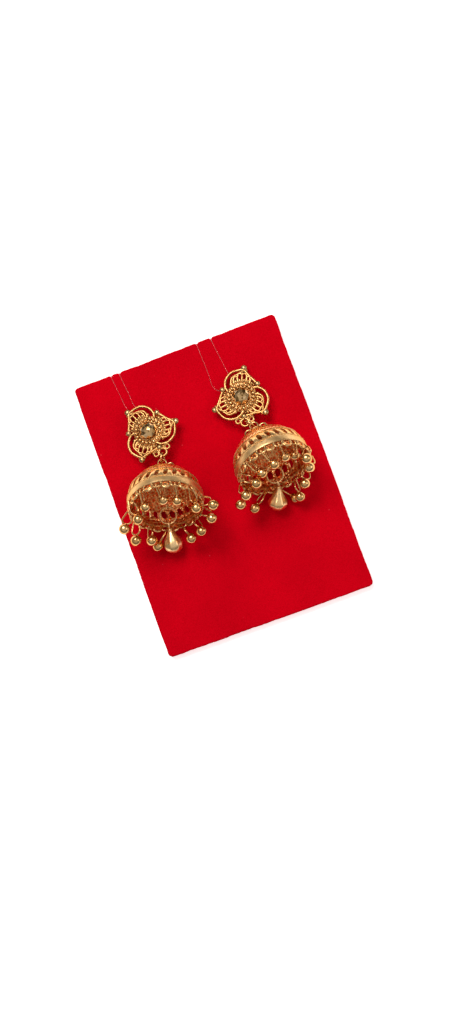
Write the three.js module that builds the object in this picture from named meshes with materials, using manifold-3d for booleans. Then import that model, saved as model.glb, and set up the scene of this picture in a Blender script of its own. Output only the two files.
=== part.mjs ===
// Pair of jhumka (bell) earrings tied to a flocked display card.
// Millimetres. X across the card, Y up the card towards the edge where the threads go over, Z up.
// Origin: centre of the card's underside.
import * as THREE from 'three';
import { mergeVertices } from 'three/addons/utils/BufferGeometryUtils.js';
import Module from 'manifold-3d';

const wasm = await Module();
wasm.setup();

// ---------------------------------------------------------------- driving dimensions
const CARD = { width: 57, length: 76, thick: 3, corner: 1.2, edge: 0.45 };
const THREAD = { r: 0.14, z: 3.2, sides: 4, notchW: 0.8, notchD: 0.75, grooveZ: 0.75, backY: 34.6 };
const DOME = {
  r: 9.7, wall: 0.65, bandTop: 1.0, bandBottom: -1.0, bandR: 9.78,
  slots: 26, slotLow: 82, slotHigh: 69, slotWidth: 1.15, slotSlant: 13,
  petals: 13, petalWidth: 2.0, petalDrop: 1.6, petalR: 9.45,
  eyeR: 9.45, eyeWidth: 1.95, eyeDrop: 2.2, wire: 0.23,
};
const TOP_EYE = { dist: 12.7, r: 1.06, wire: 0.26, sideX: 2.1, sideDist: 11.4, sideR: 0.85 };
const HOOK = { bar: 6.9, halfWidth: 0.95, wire: 0.26 };
const DANGLE = { wire: 0.22, tipR: 0.7, bellyR: 1.25, belly: 2.0, beadAt: 4.7, beadR: 1.4 };
const LINK = { r: 1.3, wire: 0.25 };
const CHAIN = { wire: 0.24, hook: 0.66, linkHalf: 4.12, linkR: 1.0, ringR: 2.15, eyeR: 0.85 };
const DROP = { r: 2.6, neck: 0.55 };
const POST = { r: 0.42, pad: 1.25, low: 0.5, hole: 0.85 };

// one row per earring: bell centre, direction of its apex (azimuth, elevation), rosette centre, lean and turn
const EARRINGS = [
  { side: 'left', mirror: -1, bell: [-14.17, 0.24, 13.0], az: 80.5, dip: -33.6, phase: 8.4, eyePitch: 38,
    rosette: [-13.0, 19.9, 5.75], leanTo: 115, lean: 9, turn: 15.8, dropTop: [-16.05, -6.1, 8.2], dropEnd: [-17.2, -12.46, 5.3], shoulder: [0.70, 1.36, 1.92],
    notches: [-17.75, -15.4], strands: [[-16.8, 28.3], [-14.6, 28.2]] },
  { side: 'right', mirror: 1, bell: [14.77, 0.08, 13.0], az: 96.5, dip: -27.8, phase: 12.9, eyePitch: 5,
    rosette: [13.0, 19.8, 5.55], leanTo: 100, lean: 9, turn: -11, dropTop: [14.31, -5.69, 8.6], dropEnd: [11.62, -11.22, 5.3], shoulder: [0.66, 1.15, 1.78],
    notches: [6.6, 10.6], strands: [[6.9, 25.0], [11.7, 27.7]] },
];

// how each bead drop hangs: sideways lean and inward swing at its eyelet, in degrees, in order round the rim
const HANG = {
  left: { lean: [6.3, -37.1, -19.5, -5.5, 28.2, 21.8, 4.5, 15.7, -1.8, -30.5, 24.5, 16.1, 19.7],
    swing: [-42.3, 24.1, 73.3, 78.8, 74.5, 33.3, -18.5, -15.0, 14.7, -35.3, -4.2, -3.8, -23.0] },
  right: { lean: [29.8, -33.0, -22.0, -10.5, 7.5, -11.8, -23.5, -35.1, -38.2, 36.9, -13.9, -10.2, 22.4],
    swing: [8.9, 93.0, 82.2, 65.5, 67.2, 31.2, -0.1, -40.2, -42.6, -40.3, -9.2, 25.0, 25.9] },
};

// rosette outline in polar steps from a lobe's tip: turn (degrees, positive round to the full side) and radius
const LOBES = [77, 197, 317];
const FULL_SIDE = { turn: [0, 8, 27.5, 46, 61.6, 72], radius: [7.2, 7.24, 7.1, 6.3, 5.1, 3.9] };
const FLAT_SIDE = { turn: [0, -6, -15, -29, -47], radius: [7.2, 6.65, 5.94, 5.45, 5.3] };
const INNER_ARC = { turn: [0, 14, 30, 40, 43], radius: [6.9, 6.15, 5.75, 4.8, 3.6] };
const RIBS = { turn: [20, 2, -15], radius: [6.0, 6.7, 5.8] };
const ROSETTE = {
  half: 0.42, bossR: 2.15, bossH: 1.75, ringR: 3.15, ringWire: 0.42, backR: 4.0, backT: 0.45,
  tipAt: 7.75, tipR: 0.8, junctionAt: 5.4, junctionR: 0.72, eyeAt: 7.0, eyeR: 1.0, sideX: 1.75, sideR: 0.6,
};

// ---------------------------------------------------------------- materials
const gold = (name) => new THREE.MeshStandardMaterial({ name, color: 0xc98a4b, roughness: 0.24, metalness: 1 });
const flock = new THREE.MeshStandardMaterial({ name: 'red_flock', color: 0xc5031a, roughness: 0.95, metalness: 0 });
const nylon = new THREE.MeshStandardMaterial({ name: 'clear_thread', color: 0xe6c8c8, roughness: 0.2, metalness: 0 });

// ---------------------------------------------------------------- helpers
const V = (a, b, c) => new THREE.Vector3(a, b, c);
const rad = (d) => (d * Math.PI) / 180;

// a closed geometry as a solid, its faces turned outwards
function solid(geometry) {
  const g = geometry.index ? geometry.clone() : geometry.clone();
  g.deleteAttribute('normal');
  g.deleteAttribute('uv');
  const m = mergeVertices(g, 1e-4);
  const p = m.attributes.position.array;
  let t = Uint32Array.from(m.index.array);
  const keep = [];
  for (let i = 0; i < t.length; i += 3) {
    if (t[i] !== t[i + 1] && t[i + 1] !== t[i + 2] && t[i] !== t[i + 2]) keep.push(t[i], t[i + 1], t[i + 2]);
  }
  t = Uint32Array.from(keep);
  let volume = 0;
  for (let i = 0; i < t.length; i += 3) {
    const a = V(p[3 * t[i]], p[3 * t[i] + 1], p[3 * t[i] + 2]);
    const b = V(p[3 * t[i + 1]], p[3 * t[i + 1] + 1], p[3 * t[i + 1] + 2]);
    const c = V(p[3 * t[i + 2]], p[3 * t[i + 2] + 1], p[3 * t[i + 2] + 2]);
    volume += a.dot(b.cross(c)) / 6;
  }
  if (volume < 0) for (let i = 0; i < t.length; i += 3) [t[i + 1], t[i + 2]] = [t[i + 2], t[i + 1]];
  return new wasm.Manifold(new wasm.Mesh({ numProp: 3, vertProperties: Float32Array.from(p), triVerts: t }));
}
const join = (list) => list.reduce((a, b) => a.add(b));
function geometryOf(body) {
  const m = body.getMesh();
  const g = new THREE.BufferGeometry();
  const n = m.numProp;
  const p = new Float32Array((m.vertProperties.length / n) * 3);
  for (let i = 0; i < p.length / 3; i++) for (let k = 0; k < 3; k++) p[3 * i + k] = m.vertProperties[n * i + k];
  g.setAttribute('position', new THREE.BufferAttribute(p, 3));
  g.setIndex(new THREE.BufferAttribute(Uint32Array.from(m.triVerts), 1));
  g.computeVertexNormals();
  return g;
}
// a line through its points, one step from each to the next
class StepLine extends THREE.Curve {
  constructor(points) {
    super();
    this.points = points;
  }
  getPoint(t) {
    const n = this.points.length - 1;
    const i = Math.min(Math.floor(t * n + 1e-6), n - 1);
    return this.points[i].clone().lerp(this.points[i + 1], t * n - i);
  }
  getPointAt(t) {
    return this.getPoint(t);
  }
  getTangent(t) {
    const n = this.points.length - 1;
    const i = Math.round(t * n);
    return this.points[Math.min(i + 1, n)].clone().sub(this.points[Math.max(i - 1, 0)]).normalize();
  }
  getTangentAt(t) {
    return this.getTangent(t);
  }
}
// round wire along an open line: straight from point to point, or smoothed in the given number of steps
function wire(line, r, sides, steps = 0) {
  const points = steps ? new THREE.CatmullRomCurve3(line, false, 'centripetal').getSpacedPoints(steps) : line;
  const disc = new THREE.Shape();
  for (let i = 0; i < sides; i++) {
    const a = (2 * Math.PI * i) / sides;
    if (i === 0) disc.moveTo(r * Math.cos(a), r * Math.sin(a));
    else disc.lineTo(r * Math.cos(a), r * Math.sin(a));
  }
  return solid(new THREE.ExtrudeGeometry(disc, { steps: points.length - 1, bevelEnabled: false, extrudePath: new StepLine(points) }));
}
// round wire along a closed line: a torus laid along the given points
function closedWire(points, r, sides) {
  const n = points.length;
  const g = new THREE.TorusGeometry(1, 0.3, sides, n);
  const tangent = points.map((p, i) => points[(i + 1) % n].clone().sub(points[(i + n - 1) % n]).normalize());
  // frames carried along the line without twist, the leftover turn shared out evenly
  let side = Math.abs(tangent[0].z) < 0.9 ? V(0, 0, 1) : V(1, 0, 0);
  side.sub(tangent[0].clone().multiplyScalar(side.dot(tangent[0]))).normalize();
  const frames = [];
  for (let i = 0; i <= n; i++) {
    const t = tangent[i % n];
    side = side.clone().sub(t.clone().multiplyScalar(side.dot(t))).normalize();
    frames.push(side.clone());
  }
  const t0 = tangent[0];
  const off = Math.atan2(frames[n].clone().cross(frames[0]).dot(t0), frames[n].dot(frames[0]));
  const pos = g.attributes.position;
  for (let j = 0; j <= sides; j++) {
    for (let i = 0; i <= n; i++) {
      const k = i % n;
      const t = tangent[k];
      const a = (2 * Math.PI * (j % sides)) / sides + (i === n ? 0 : (off * i) / n);
      const u = frames[k];
      const v = t.clone().cross(u);
      const p = points[k].clone().addScaledVector(u, r * Math.cos(a)).addScaledVector(v, r * Math.sin(a));
      pos.setXYZ(j * (n + 1) + i, p.x, p.y, p.z);
    }
  }
  return solid(g);
}
// matrix whose columns are the given axes, at a place
const place = (x, y, z, o) => new THREE.Matrix4().makeBasis(x, y, z).setPosition(o);
const placed = (g, m) => solid(g.clone().applyMatrix4(m));
// ring of round wire: its axis along z of the matrix
const ring = (R, r, m, around = 16, sides = 6) => placed(new THREE.TorusGeometry(R, r, sides, around), m);
const ball = (r, at, w = 8, h = 6) => solid(new THREE.SphereGeometry(r, w, h).translate(at.x, at.y, at.z));

const group = new THREE.Group();
function addMesh(name, body, material) {
  const mesh = new THREE.Mesh(geometryOf(body), material);
  mesh.name = name;
  group.add(mesh);
}

// ---------------------------------------------------------------- card
function cardBody() {
  const w = CARD.width / 2 - CARD.edge;
  const l = CARD.length / 2 - CARD.edge;
  const c = CARD.corner;
  const s = new THREE.Shape();
  s.moveTo(-w + c, -l);
  s.lineTo(w - c, -l);
  s.absarc(w - c, -l + c, c, -Math.PI / 2, 0);
  s.lineTo(w, l - c);
  s.absarc(w - c, l - c, c, 0, Math.PI / 2);
  s.lineTo(-w + c, l);
  s.absarc(-w + c, l - c, c, Math.PI / 2, Math.PI);
  s.lineTo(-w, -l + c);
  s.absarc(-w + c, -l + c, c, Math.PI, 1.5 * Math.PI);
  const g = new THREE.ExtrudeGeometry(s, {
    depth: CARD.thick - 2 * CARD.edge, bevelEnabled: true, bevelThickness: CARD.edge, bevelSize: CARD.edge, bevelSegments: 1, curveSegments: 3,
  });
  let body = solid(g.translate(0, 0, CARD.edge));
  const cut = (x0, x1, y0, y1, z0, z1) => {
    const b = new THREE.BoxGeometry(x1 - x0, y1 - y0, z1 - z0).translate((x0 + x1) / 2, (y0 + y1) / 2, (z0 + z1) / 2);
    body = body.subtract(solid(b));
  };
  const h = THREAD.notchW / 2;
  const edge = CARD.length / 2;
  for (const e of EARRINGS) {
    const [a, b] = e.notches;
    for (const x of e.notches) {
      cut(x - h, x + h, edge - THREAD.notchD, edge + 1, -1, CARD.thick + 1);
      cut(x - h, x + h, THREAD.backY - 0.5, edge, -1, THREAD.grooveZ);
    }
    cut(a - h, b + h, THREAD.backY - 0.5, THREAD.backY + 0.5, -1, THREAD.grooveZ);
    const hole = new THREE.CylinderGeometry(POST.hole, POST.hole, CARD.thick, 10).rotateX(Math.PI / 2);
    body = body.subtract(solid(hole.translate(e.rosette[0], e.rosette[1], POST.low - 0.3 + CARD.thick / 2)));
  }
  return body;
}
addMesh('display_card', cardBody(), flock);

// thread: down the front in two strands, round the post, over the edge and across the back
function threadBody(e) {
  const z = THREAD.z;
  const [xa, xb] = e.notches;
  const [sa, sb] = e.strands;
  const edge = CARD.length / 2;
  const py = e.rosette[1];
  const px = e.rosette[0];
  const around = POST.r + THREAD.r + 0.12;
  const over = (x) => [V(x, edge - 1.2, z + 0.02), V(x, edge - 0.62, z), V(x, edge - 0.36, z - 0.16), V(x, edge - 0.26, z - 0.5),
    V(x, edge - 0.26, 1.6), V(x, edge - 0.26, 0.72), V(x, edge - 0.36, 0.4), V(x, edge - 0.66, 0.32), V(x, edge - 2.0, 0.32)];
  const yb = THREAD.backY;
  const down = over(xa);
  const up = over(xb).reverse();
  const a0 = Math.atan2(sa[1] - py, sa[0] - px) + 1.25;
  const a1 = Math.atan2(sb[1] - py, sb[0] - px) - 1.25 + 2 * Math.PI;
  const turn = [];
  for (let i = 0; i <= 6; i++) {
    const a = a0 + ((a1 - a0) * i) / 6;
    turn.push(V(px + around * Math.cos(a), py + around * Math.sin(a), z + 0.03));
  }
  const mix = (p, q, f) => V(p[0] + (q[0] - p[0]) * f, p[1] + (q[1] - p[1]) * f, z + 0.02);
  const loop = [
    V(xb - 0.5, yb + 0.02, 0.32), V((xa + xb) / 2, yb, 0.32), V(xa + 0.5, yb + 0.02, 0.32), V(xa + 0.13, yb + 0.12, 0.32), V(xa, yb + 0.45, 0.32),
    ...down.reverse(), mix([xa, edge - 1.2], sa, 0.33), mix([xa, edge - 1.2], sa, 0.66), V(sa[0], sa[1], z + 0.02),
    mix(sa, [turn[0].x, turn[0].y], 0.5), ...turn, mix([turn[6].x, turn[6].y], sb, 0.5),
    V(sb[0], sb[1], z + 0.02), mix(sb, [xb, edge - 1.2], 0.33), mix(sb, [xb, edge - 1.2], 0.66), ...up.reverse(),
    V(xb, yb + 0.45, 0.32), V(xb - 0.13, yb + 0.12, 0.32),
  ];
  return closedWire(loop, THREAD.r, THREAD.sides);
}

// ---------------------------------------------------------------- rosette
function rosetteFrame(e) {
  const n = V(Math.sin(rad(e.lean)) * Math.cos(rad(e.leanTo)), Math.sin(rad(e.lean)) * Math.sin(rad(e.leanTo)), Math.cos(rad(e.lean)));
  const q = new THREE.Quaternion().setFromUnitVectors(V(0, 0, 1), n).multiply(new THREE.Quaternion().setFromAxisAngle(V(0, 0, 1), rad(e.turn)));
  return new THREE.Matrix4().makeRotationFromQuaternion(q).setPosition(V(...e.rosette));
}
function rosetteBody(e) {
  const k = ROSETTE;
  const polar = (deg, r, z = 0) => V(e.mirror * r * Math.cos(rad(deg)), r * Math.sin(rad(deg)), z);
  const parts = [];
  // faceted half-round boss on its back plate
  const boss = [[0, -0.3], [k.bossR, -0.3], [k.bossR, 0.2], [k.bossR * 0.86, k.bossH * 0.55], [k.bossR * 0.5, k.bossH * 0.9], [0, k.bossH]];
  parts.push(solid(new THREE.LatheGeometry(boss.map((p) => new THREE.Vector2(p[0], p[1])), 10).rotateX(Math.PI / 2)));
  const plate = [[0, -k.half], [k.backR, -k.half], [k.backR, -k.half + k.backT], [0, -k.half + k.backT]];
  parts.push(solid(new THREE.LatheGeometry(plate.map((p) => new THREE.Vector2(p[0], p[1])), 16).rotateX(Math.PI / 2)));
  parts.push(solid(new THREE.TorusGeometry(k.ringR, k.ringWire, 4, 20).translate(0, 0, 0.25)));
  for (const tip of LOBES) {
    const line = (t) => t.turn.map((d, i) => polar(tip + d, t.radius[i]));
    parts.push(wire(line(FULL_SIDE), 0.32, 4, 7));
    parts.push(wire(line(FLAT_SIDE), 0.28, 4, 4));
    parts.push(wire(line(INNER_ARC), 0.24, 4, 5));
    RIBS.turn.forEach((d, i) => parts.push(wire([polar(tip + d, 3.3), polar(tip + d * 0.6, RIBS.radius[i])], 0.24, 4)));
    const flat = (r, at, h) => solid(new THREE.SphereGeometry(r, 7, 5).scale(1, 1, h / r).translate(at.x, at.y, at.z));
    parts.push(flat(k.tipR, polar(tip, k.tipAt), k.half + 0.1));
    parts.push(flat(k.junctionR, polar(tip - 47, k.junctionAt), k.half + 0.15));
  }
  // hanging eye below the lowest junction, with a small grain each side
  parts.push(solid(new THREE.TorusGeometry(k.eyeR, 0.28, 4, 12).translate(0, -k.eyeAt, 0)));
  for (const s of [-1, 1]) parts.push(solid(new THREE.TorusGeometry(k.sideR, 0.25, 4, 9).translate(s * k.sideX, -k.eyeAt + 0.55, 0)));
  return geometryTransformed(join(parts), rosetteFrame(e));
}
function geometryTransformed(body, m) {
  return solid(geometryOf(body).applyMatrix4(m));
}

// ---------------------------------------------------------------- bell
function bellAxes(e) {
  const a = V(Math.cos(rad(e.dip)) * Math.cos(rad(e.az)), Math.cos(rad(e.dip)) * Math.sin(rad(e.az)), Math.sin(rad(e.dip)));
  const e1 = a.clone().cross(V(0, 0, 1)).normalize();
  const e2 = e1.clone().cross(a);
  return { a, e1, e2, c: V(...e.bell) };
}
// bell in its own frame: apex along +Z, mouth down
function bellBody(e) {
  const d = DOME;
  const outer = [];
  for (const psi of [0, 18, 36, 52, 67, 84]) outer.push([d.r * Math.sin(rad(psi)), d.r * Math.cos(rad(psi))]);
  outer.push([d.bandR + 0.1, d.bandTop], [d.bandR, d.bandTop - 0.35], [d.bandR, d.bandBottom + 0.3], [d.bandR + 0.1, d.bandBottom]);
  const ri = d.r - d.wall;
  const inner = [[d.bandR - d.wall, d.bandBottom]];
  for (const psi of [84, 66, 44, 22, 0]) inner.push([ri * Math.sin(rad(psi)), ri * Math.cos(rad(psi))]);
  outer[0][0] = 0;
  inner[inner.length - 1][0] = 0;
  let body = solid(new THREE.LatheGeometry([...outer, ...inner].map((p) => new THREE.Vector2(p[0], p[1])), d.slots).rotateX(Math.PI / 2));
  // row of slanted slots above the band
  const z0 = d.r * Math.cos(rad(d.slotLow));
  const z1 = d.r * Math.cos(rad(d.slotHigh));
  for (let i = 0; i < d.slots; i++) {
    const g = new THREE.BoxGeometry(2.2, d.slotWidth, (z1 - z0));
    g.applyMatrix4(new THREE.Matrix4().makeRotationX(rad(e.mirror * d.slotSlant)));
    g.translate(d.r - 0.35, 0, (z0 + z1) / 2);
    g.applyMatrix4(new THREE.Matrix4().makeRotationZ((2 * Math.PI * (i + 0.5)) / d.slots));
    body = body.subtract(solid(g));
  }
  const parts = [body];
  // wire petals and eyelets in turn round the rim
  const staple = (deg, R, width, drop, corner) => {
    const a = rad(deg);
    const out = V(Math.cos(a), Math.sin(a), 0);
    const along = V(-Math.sin(a), Math.cos(a), 0);
    const top = d.bandBottom + 0.35;
    const at = (s, z) => out.clone().multiplyScalar(Math.sqrt(R * R - s * s)).addScaledVector(along, s).add(V(0, 0, z));
    const h = width / 2;
    const low = d.bandBottom - drop;
    const c = corner * h;
    return wire([at(-h, top), at(-h, low + c * 0.8), at(-h + c, low), at(h - c, low), at(h, low + c * 0.8), at(h, top)], d.wire, 4);
  };
  for (let i = 0; i < d.petals; i++) {
    const deg = -(e.phase + (360 * i) / d.petals);
    parts.push(staple(deg, d.eyeR, d.eyeWidth, d.eyeDrop + d.bandBottom, 0.42));
    parts.push(staple(deg + 180 / d.petals, d.petalR, d.petalWidth, d.petalDrop, 0.62));
  }
  // crown: a neck, the hanging eye and a smaller loop each side
  const t = TOP_EYE;
  const neck = [[0, d.r - 0.5], [2.6, d.r - 0.55], [2.1, d.r + 0.6], [1.5, t.sideDist - 0.45], [1.4, t.sideDist + 0.3], [0.5, t.dist - t.r + 0.1], [0, t.dist - t.r + 0.1]];
  parts.push(solid(new THREE.LatheGeometry(neck.map((p) => new THREE.Vector2(p[0], p[1])), 9).rotateX(Math.PI / 2)));
  const upright = (R, r, x, z, pitch = 0) => solid(new THREE.TorusGeometry(R, r, 4, 10).rotateX(Math.PI / 2 + rad(pitch)).translate(x, 0, z));
  parts.push(upright(t.r, t.wire, 0, t.dist, e.eyePitch));
  for (const s of [-1, 1]) parts.push(upright(t.sideR, 0.25, s * t.sideX, t.sideDist));
  // hook inside the bell for the middle pendant
  const h = HOOK;
  parts.push(wire([V(-h.halfWidth, 0, ri + 0.3), V(-h.halfWidth, 0, ri - 0.9), V(-h.halfWidth * 0.7, 0, h.bar + 0.3), V(0, 0, h.bar),
    V(h.halfWidth * 0.7, 0, h.bar + 0.3), V(h.halfWidth, 0, ri - 0.9), V(h.halfWidth, 0, ri + 0.3)], h.wire, 5, 8));
  const { a, e1, e2, c } = bellAxes(e);
  // own frame: X along e1, Z along the axis, Y = Z x X
  const y = a.clone().cross(e1);
  return geometryTransformed(join(parts), place(e1, y, a, c));
}

// ---------------------------------------------------------------- drops on the rim
function pearOutline(k) {
  const th = Math.acos(-(k.bellyR - k.tipR) / k.belly);
  const pts = [];
  for (const a of [-0.7, -0.25, 0.25, 0.7]) pts.push([-k.tipR * Math.cos((Math.PI - th) * a), k.tipR * Math.sin((Math.PI - th) * a)]);
  for (let i = 0; i <= 6; i++) {
    const a = th * (1 - i / 3);
    pts.push([k.belly + k.bellyR * Math.cos(a), k.bellyR * Math.sin(a)]);
  }
  return pts;
}
function dangleBody(e, i) {
  const { a, e1, e2, c } = bellAxes(e);
  const t = rad(e.phase + (360 * i) / DOME.petals);
  const u = e1.clone().multiplyScalar(Math.cos(t)).addScaledVector(e2, Math.sin(t));
  const tau = e1.clone().multiplyScalar(-Math.sin(t)).addScaledVector(e2, Math.cos(t));
  const al = rad(HANG[e.side].lean[i]);
  const be = rad(HANG[e.side].swing[i]);
  const bar = c.clone().addScaledVector(u, DOME.eyeR).addScaledVector(a, -DOME.eyeDrop);
  const d = a.clone().multiplyScalar(-Math.cos(al) * Math.cos(be)).addScaledVector(u, -Math.cos(al) * Math.sin(be)).addScaledVector(tau, Math.sin(al));
  const m = tau.clone().addScaledVector(d, -tau.dot(d)).normalize();
  const w = m.clone().cross(d);
  const k = DANGLE;
  const loop = closedWire(pearOutline(k).map((p) => bar.clone().addScaledVector(d, p[0]).addScaledVector(w, p[1])), k.wire, 4);
  const bead = placed(new THREE.SphereGeometry(k.beadR, 7, 6).rotateX(Math.PI / 2), place(m, w, d, bar.clone().addScaledVector(d, k.beadAt)));
  return loop.add(bead);
}

// ---------------------------------------------------------------- middle pendant
function pendantBodies(e) {
  const k = CHAIN;
  const { a, e1, c } = bellAxes(e);
  const hook = c.clone().addScaledVector(a, HOOK.bar);
  const top = V(...e.dropTop);
  const end = V(...e.dropEnd);
  const run = top.clone().sub(hook);
  const length = run.length();
  run.normalize();
  // spare length left over is shared between the three joints
  const need = -k.hook + 2 * k.linkHalf - k.hook + 2 * k.ringR - k.hook + 2 * k.eyeR;
  const slack = (length - need) / 3;
  const side = e1.clone().addScaledVector(run, -e1.dot(run)).normalize();
  const up = run.clone().cross(side).normalize();
  const g = k.hook - slack;
  const linkMid = hook.clone().addScaledVector(run, -g + k.linkHalf);
  const ringMid = hook.clone().addScaledVector(run, -g + 2 * k.linkHalf - g + k.ringR);
  const eyeMid = hook.clone().addScaledVector(run, -g + 2 * k.linkHalf - g + 2 * k.ringR - g + k.eyeR);
  const oval = [];
  const straight = k.linkHalf - k.linkR;
  for (let i = 0; i < 12; i++) {
    const t = (2 * Math.PI * (i + 0.5)) / 12;
    oval.push(linkMid.clone().addScaledVector(run, k.linkR * Math.cos(t) + Math.sign(Math.cos(t)) * straight).addScaledVector(up, k.linkR * Math.sin(t)));
  }
  const link = closedWire(oval, k.wire, 5);
  const circle = ring(k.ringR, k.wire, place(run, side, run.clone().cross(side), ringMid), 18, 5);
  // drop: round-bottomed tear, its small eye across the ring
  const v = end.clone().sub(top);
  const total = v.length();
  v.normalize();
  const r = DROP.r;
  const prof = [[0, 0.1], [DROP.neck, 0.1], [e.shoulder[0], 0.85], [e.shoulder[1], 1.95], [e.shoulder[2], 3.1], [r, total - r], [r * 0.87, total - r * 0.5], [r * 0.5, total - r * 0.13], [0, total]];
  const across = up.clone().addScaledVector(v, -up.dot(v)).normalize();
  const m = place(v.clone().cross(across), across, v, top);
  const tear = placed(new THREE.LatheGeometry(prof.map((p) => new THREE.Vector2(p[0], p[1])), 14).rotateX(Math.PI / 2).scale(1, 1, 1), m);
  const eye = ring(k.eyeR, k.wire, place(run, up, run.clone().cross(up), eyeMid), 12, 5);
  return { link, circle, drop: tear.add(eye) };
}

// ---------------------------------------------------------------- build
for (const e of EARRINGS) {
  addMesh(`tie_thread_${e.side}`, threadBody(e), nylon);
  addMesh(`stud_rosette_${e.side}`, rosetteBody(e), gold('gold_rosette'));

  // plain post under the rosette, ending inside the card
  const [x, y, z] = e.rosette;
  const padTop = z - ROSETTE.half / Math.cos(rad(e.lean)) - POST.pad * Math.tan(rad(e.lean)) - 0.3;
  const post = [[0, POST.low], [POST.r * 0.5, POST.low], [POST.r, POST.low + 0.5], [POST.r, padTop - 0.45], [POST.pad, padTop - 0.45], [POST.pad, padTop], [0, padTop]];
  addMesh(`ear_post_${e.side}`, solid(new THREE.LatheGeometry(post.map((p) => new THREE.Vector2(p[0], p[1])), 8).rotateX(Math.PI / 2).translate(x, y, 0)), gold('gold_post'));

  addMesh(`bell_dome_${e.side}`, bellBody(e), gold('gold_bell'));

  // jump ring through the rosette's eye and the bell's eye
  const eyeA = V(0, -ROSETTE.eyeAt, 0).applyMatrix4(rosetteFrame(e));
  const { a, e2, c } = bellAxes(e);
  const eyeB = c.clone().addScaledVector(a, TOP_EYE.dist);
  const along = eyeB.clone().sub(eyeA).normalize();
  const normal = V(0, 0, 1).transformDirection(rosetteFrame(e)).add(e2);
  normal.addScaledVector(along, -normal.dot(along)).normalize();
  const mid = eyeA.clone().add(eyeB).multiplyScalar(0.5);
  addMesh(`link_ring_${e.side}`, ring(LINK.r, LINK.wire, place(along, normal, along.clone().cross(normal), mid), 18, 6), gold('gold_link'));

  const p = pendantBodies(e);
  addMesh(`centre_link_${e.side}`, p.link, gold('gold_link'));
  addMesh(`centre_ring_${e.side}`, p.circle, gold('gold_link'));
  addMesh(`centre_drop_${e.side}`, p.drop, gold('gold_drop'));
  for (let i = 0; i < DOME.petals; i++) addMesh(`bead_drop_${e.side}_${String(i + 1).padStart(2, '0')}`, dangleBody(e, i), gold('gold_bead'));
}

export default group;
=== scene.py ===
"""Looks for the pair of jhumka earrings on their flocked card. Lengths in the tables are millimetres."""
import math
import bpy
import numpy as np
from mathutils import Matrix, Quaternion, Vector


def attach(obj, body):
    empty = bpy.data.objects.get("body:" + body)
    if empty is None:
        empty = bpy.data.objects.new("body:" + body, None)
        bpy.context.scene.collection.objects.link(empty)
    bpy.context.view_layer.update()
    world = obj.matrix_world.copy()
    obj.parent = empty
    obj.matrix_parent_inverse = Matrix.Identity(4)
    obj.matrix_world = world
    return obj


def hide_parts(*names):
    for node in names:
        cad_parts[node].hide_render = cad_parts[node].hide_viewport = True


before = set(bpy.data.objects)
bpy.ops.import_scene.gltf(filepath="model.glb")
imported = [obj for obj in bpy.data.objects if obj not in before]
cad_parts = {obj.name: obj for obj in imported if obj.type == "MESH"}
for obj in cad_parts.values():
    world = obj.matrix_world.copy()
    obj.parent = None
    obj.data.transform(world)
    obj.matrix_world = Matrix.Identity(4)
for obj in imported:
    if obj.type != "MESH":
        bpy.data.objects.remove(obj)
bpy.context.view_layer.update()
MM = 0.001
rng = np.random.default_rng(11)

# ------------------------------------------------------------------ the same driving dimensions as the CAD
CARD = dict(width=57.0, length=76.0, thick=3.0, corner=1.2)
THREAD = dict(z=3.2, backY=34.6)
DOME = dict(r=9.7, wall=0.6, bottom=-1.0, slots=26, width=1.25, slant=13.0, petals=13, petalW=2.0, petalDrop=1.6, R=9.45, eyeW=1.95, eyeDrop=2.2, wire=0.23)
TOP = dict(dist=12.7, r=1.06, wire=0.26, sideX=2.1, sideDist=11.4, sideR=0.85)
HOOK = dict(bar=6.9, half=0.95, wire=0.26)
DANGLE = dict(wire=0.22, tipR=0.7, bellyR=1.25, belly=2.0, beadAt=4.7, beadR=1.4)
LINK = dict(r=1.3, wire=0.25)
CHAIN = dict(wire=0.24, hook=0.66, half=4.12, linkR=1.0, ringR=2.15, eyeR=0.85)
EARRINGS = [
    dict(side="left", mirror=-1, bell=(-14.17, 0.24, 13.0), az=80.5, dip=-33.6, phase=8.4, pitch=38,
         rosette=(-13.0, 19.9, 5.75), leanTo=115, lean=9, turn=15.8, top=(-16.05, -6.1, 8.2), end=(-17.2, -12.46, 5.3),
         notches=(-17.75, -15.4), strands=((-16.8, 28.3), (-14.6, 28.2))),
    dict(side="right", mirror=1, bell=(14.77, 0.08, 13.0), az=96.5, dip=-27.8, phase=12.9, pitch=5,
         rosette=(13.0, 19.8, 5.55), leanTo=100, lean=9, turn=-11, top=(14.31, -5.69, 8.6), end=(11.62, -11.22, 5.3),
         notches=(6.6, 10.6), strands=((6.9, 25.0), (11.7, 27.7))),
]
HANG = dict(
    left=dict(lean=[6.3, -37.1, -19.5, -5.5, 28.2, 21.8, 4.5, 15.7, -1.8, -30.5, 24.5, 16.1, 19.7],
              swing=[-42.3, 24.1, 73.3, 78.8, 74.5, 33.3, -18.5, -15.0, 14.7, -35.3, -4.2, -3.8, -23.0]),
    right=dict(lean=[29.8, -33.0, -22.0, -10.5, 7.5, -11.8, -23.5, -35.1, -38.2, 36.9, -13.9, -10.2, 22.4],
               swing=[8.9, 93.0, 82.2, 65.5, 67.2, 31.2, -0.1, -40.2, -42.6, -40.3, -9.2, 25.0, 25.9]))
LOBES = (77, 197, 317)
FULL = ((0, 8, 27.5, 46, 61.6, 72), (7.2, 7.24, 7.1, 6.3, 5.1, 3.9))
FLAT = ((0, -6, -15, -29, -47), (7.2, 6.65, 5.94, 5.45, 5.3))
INNER = ((0, 14, 30, 40, 43), (6.9, 6.15, 5.75, 4.8, 3.6))


# ------------------------------------------------------------------ mesh helpers
def vec(*a):
    return np.array(a, float)


def unit(v):
    v = np.asarray(v, float)
    return v / np.linalg.norm(v)


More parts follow.
